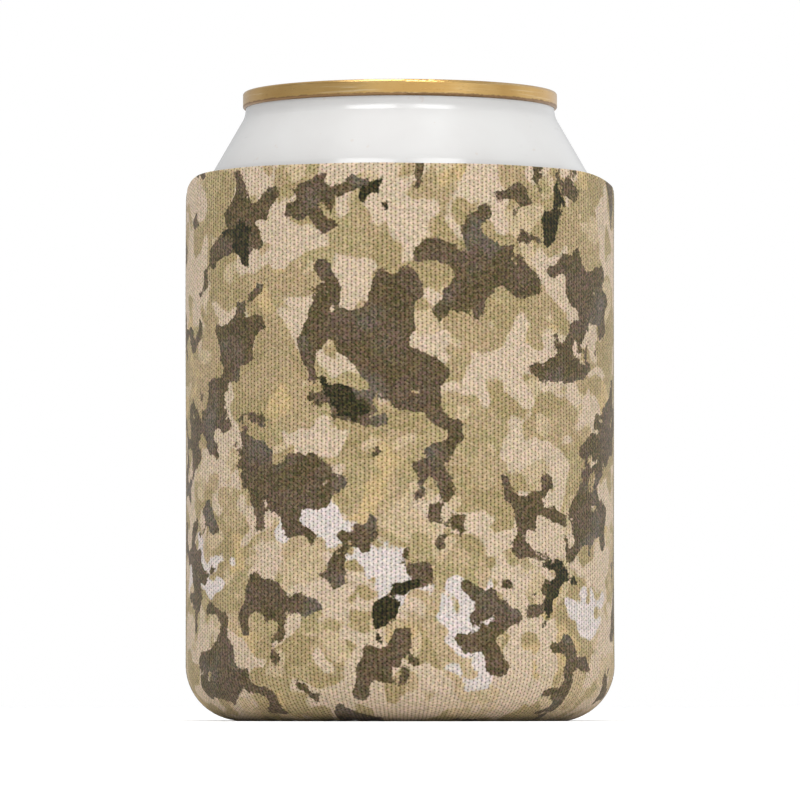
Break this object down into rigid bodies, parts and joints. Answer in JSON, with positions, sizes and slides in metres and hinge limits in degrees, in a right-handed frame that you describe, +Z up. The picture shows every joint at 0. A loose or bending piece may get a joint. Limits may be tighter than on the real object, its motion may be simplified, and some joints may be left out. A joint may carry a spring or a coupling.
{
  "type": "insulated can cooler",
  "caption": "Insulated foam can cooler sleeve with a camouflage knit skin, holding a short removable drinks can with a pull tab.",
  "frame": {"origin": "middle of the sleeve's underside, on the surface it stands on", "axes": "+Z up along the sleeve's and the can's common axis, -Y towards the front, side seams on +X and -X"},
  "size_m": [0.0738, 0.0738, 0.108],
  "materials": {
    "camo_knit": "printed fine warp knit, matte",
    "sleeve_foam": "closed-cell foam, matte",
    "lining_knit": "plain knit, matte",
    "seam_thread": "spun polyester thread",
    "seam_tape": "plain woven tape",
    "white_coated_metal": "satin white coating",
    "gold_metal": "satin gold lacquer",
    "tab_metal": "satin",
    "sealing_compound": "matte"
  },
  "bodies": {
    "sleeve": {"front_cover": "camo_knit", "back_cover": "camo_knit", "front_foam": "sleeve_foam", "back_foam": "sleeve_foam", "front_lining": "lining_knit", "back_lining": "lining_knit", "base_cover": "camo_knit", "base_foam": "sleeve_foam", "base_lining": "lining_knit", "left_seam_stitch": "seam_thread", "right_seam_stitch": "seam_thread", "left_seam_tape": "seam_tape", "right_seam_tape": "seam_tape", "base_seam_stitch": "seam_thread"},
    "can": {"can_body": "white_coated_metal", "can_end": "gold_metal", "seam_compound": "sealing_compound", "tab_tongue": "tab_metal"},
    "pull_tab": {"pull_tab": "tab_metal"},
    "tear_panel": {"tear_panel": "gold_metal"}
  },
  "joints": [
    {"name": "can_lift", "type": "slide", "parent": "sleeve", "child": "can", "axis": [0, 0, 1], "range_m": [0, 0.1]},
    {"name": "tab_lift", "type": "hinge", "parent": "can", "child": "pull_tab", "pos_m": [0, -0.0046, 0.10385], "axis": [1, 0, 0], "range_deg": [0, 75]},
    {"name": "tear_panel_open", "type": "hinge", "parent": "can", "child": "tear_panel", "pos_m": [0, -0.00382, 0.10315], "axis": [1, 0, 0], "range_deg": [0, 83]}
  ],
  "couplings": [
    {"joint": "tear_panel_open", "follows": "tab_lift", "ratio": 1.1}
  ]
}
